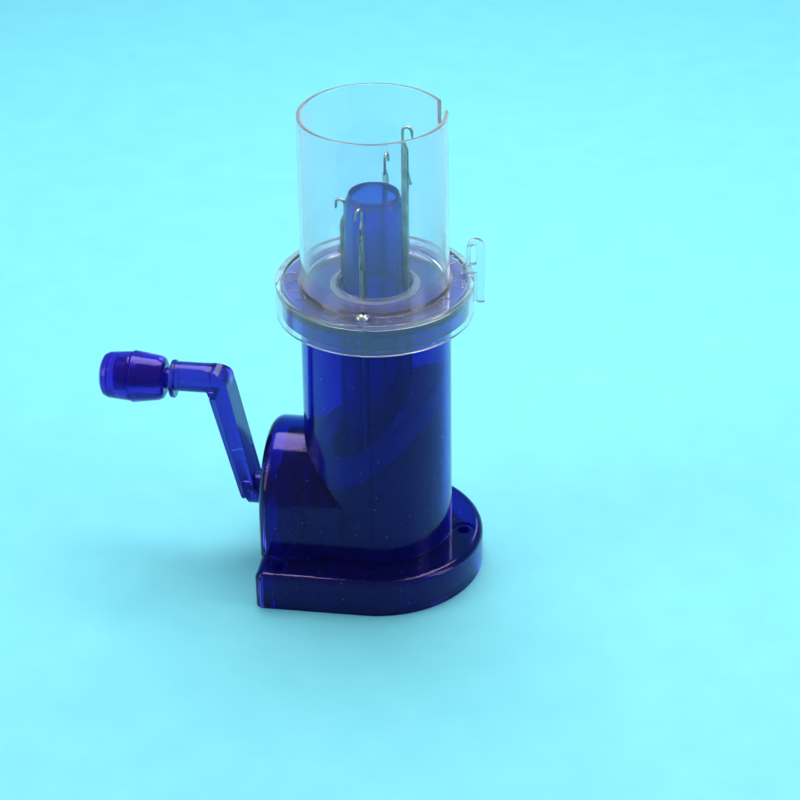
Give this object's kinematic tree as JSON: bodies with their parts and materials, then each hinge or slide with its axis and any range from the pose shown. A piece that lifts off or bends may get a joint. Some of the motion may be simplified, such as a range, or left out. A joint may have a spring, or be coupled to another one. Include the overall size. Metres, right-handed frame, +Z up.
{
  "type": "cord knitting machine",
  "caption": "Hand-cranked cord knitting machine: translucent column on a D-shaped foot, clear tube round latch needles, side crank with a spinning knob.",
  "frame": {"origin": "centre of the object's plan box, on the surface that it stands on", "axes": "+Z up along the column; the crank and its knob point to -X; the front, with the visible seam screw, faces -Y"},
  "size_m": [0.1258, 0.07, 0.1623],
  "materials": {
    "purple_plastic": "translucent moulded, glossy",
    "crank_plastic": "translucent moulded, glossy",
    "knob_plastic": "translucent moulded, glossy",
    "cam_plastic": "translucent moulded, satin",
    "cylinder_plastic": "translucent moulded, satin",
    "clear_plastic": "clear moulded, glossy",
    "needle_steel": "drawn and pressed, slightly dull",
    "screw_steel": "bright plated",
    "shaft_steel": "turned",
    "gear_plastic": "moulded, satin"
  },
  "bodies": {
    "frame": {"housing_crank_half": "purple_plastic", "housing_far_half": "purple_plastic", "base_plate": "purple_plastic", "base_plate_screw_1": "screw_steel", "base_plate_screw_2": "screw_steel", "base_plate_screw_3": "screw_steel", "base_plate_screw_4": "screw_steel", "clear_cover": "clear_plastic", "yarn_guide": "clear_plastic", "cover_screw_front": "screw_steel", "cover_screw_back": "screw_steel", "needle_retaining_ring": "clear_plastic", "lower_cam": "cam_plastic", "upper_cam": "cam_plastic", "shaft_bush": "gear_plastic", "thrust_washer": "gear_plastic"},
    "crank": {"crank_arm": "crank_plastic", "crank_arm_cover": "crank_plastic", "hub_screw": "screw_steel", "crank_shaft": "shaft_steel", "drive_wheel": "gear_plastic", "wheel_clip": "shaft_steel"},
    "knob": {"knob_inner_half": "knob_plastic", "knob_outer_half": "knob_plastic"},
    "cylinder": {"needle_cylinder": "cylinder_plastic", "cylinder_gear": "gear_plastic"},
    "needle_front": {"needle_front": "needle_steel", "latch_rivet_front": "needle_steel"},
    "latch_front": {"latch_front": "needle_steel"},
    "needle_right": {"needle_right": "needle_steel", "latch_rivet_right": "needle_steel"},
    "latch_right": {"latch_right": "needle_steel"},
    "needle_back": {"needle_back": "needle_steel", "latch_rivet_back": "needle_steel"},
    "latch_back": {"latch_back": "needle_steel"},
    "needle_left": {"needle_left": "needle_steel", "latch_rivet_left": "needle_steel"},
    "latch_left": {"latch_left": "needle_steel"}
  },
  "joints": [
    {"name": "crank_turn", "type": "hinge", "parent": "frame", "child": "crank", "pos_m": [0.0282, 0, 0.025], "axis": [1, 0, 0], "continuous": true},
    {"name": "knob_spin", "type": "hinge", "parent": "crank", "child": "knob", "pos_m": [-0.0518, 0, 0.0644], "axis": [1, 0, 0], "continuous": true},
    {"name": "cylinder_spin", "type": "hinge", "parent": "frame", "child": "cylinder", "pos_m": [0.0282, 0, 0], "axis": [0, 0, 1], "continuous": true},
    {"name": "needle_front_lift", "type": "slide", "parent": "cylinder", "child": "needle_front", "axis": [0, 0, 1], "range_m": [-0.00553, 0.02458]},
    {"name": "latch_front_flip", "type": "hinge", "parent": "needle_front", "child": "latch_front", "pos_m": [0.02591, -0.00994, 0.12497], "axis": [-0.9744, 0.225, 0], "range_deg": [0, 140]},
    {"name": "needle_right_lift", "type": "slide", "parent": "cylinder", "child": "needle_right", "axis": [0, 0, 1], "range_m": [-0.0297, 0.00041]},
    {"name": "latch_right_flip", "type": "hinge", "parent": "needle_right", "child": "latch_right", "pos_m": [0.03814, -0.0023, 0.14914], "axis": [-0.225, -0.9744, 0], "range_deg": [0, 140]},
    {"name": "needle_back_lift", "type": "slide", "parent": "cylinder", "child": "needle_back", "axis": [0, 0, 1], "range_m": [-0.01449, 0.01562]},
    {"name": "latch_back_flip", "type": "hinge", "parent": "needle_back", "child": "latch_back", "pos_m": [0.0305, 0.00994, 0.13393], "axis": [0.9744, -0.225, 0], "range_deg": [0, 140]},
    {"name": "needle_left_lift", "type": "slide", "parent": "cylinder", "child": "needle_left", "axis": [0, 0, 1], "range_m": [-0.00212, 0.02799]},
    {"name": "latch_left_flip", "type": "hinge", "parent": "needle_left", "child": "latch_left", "pos_m": [0.01826, 0.0023, 0.12156], "axis": [0.225, 0.9744, 0], "range_deg": [0, 140]}
  ],
  "couplings": [
    {"joint": "cylinder_spin", "follows": "crank_turn", "ratio": -0.75}
  ]
}
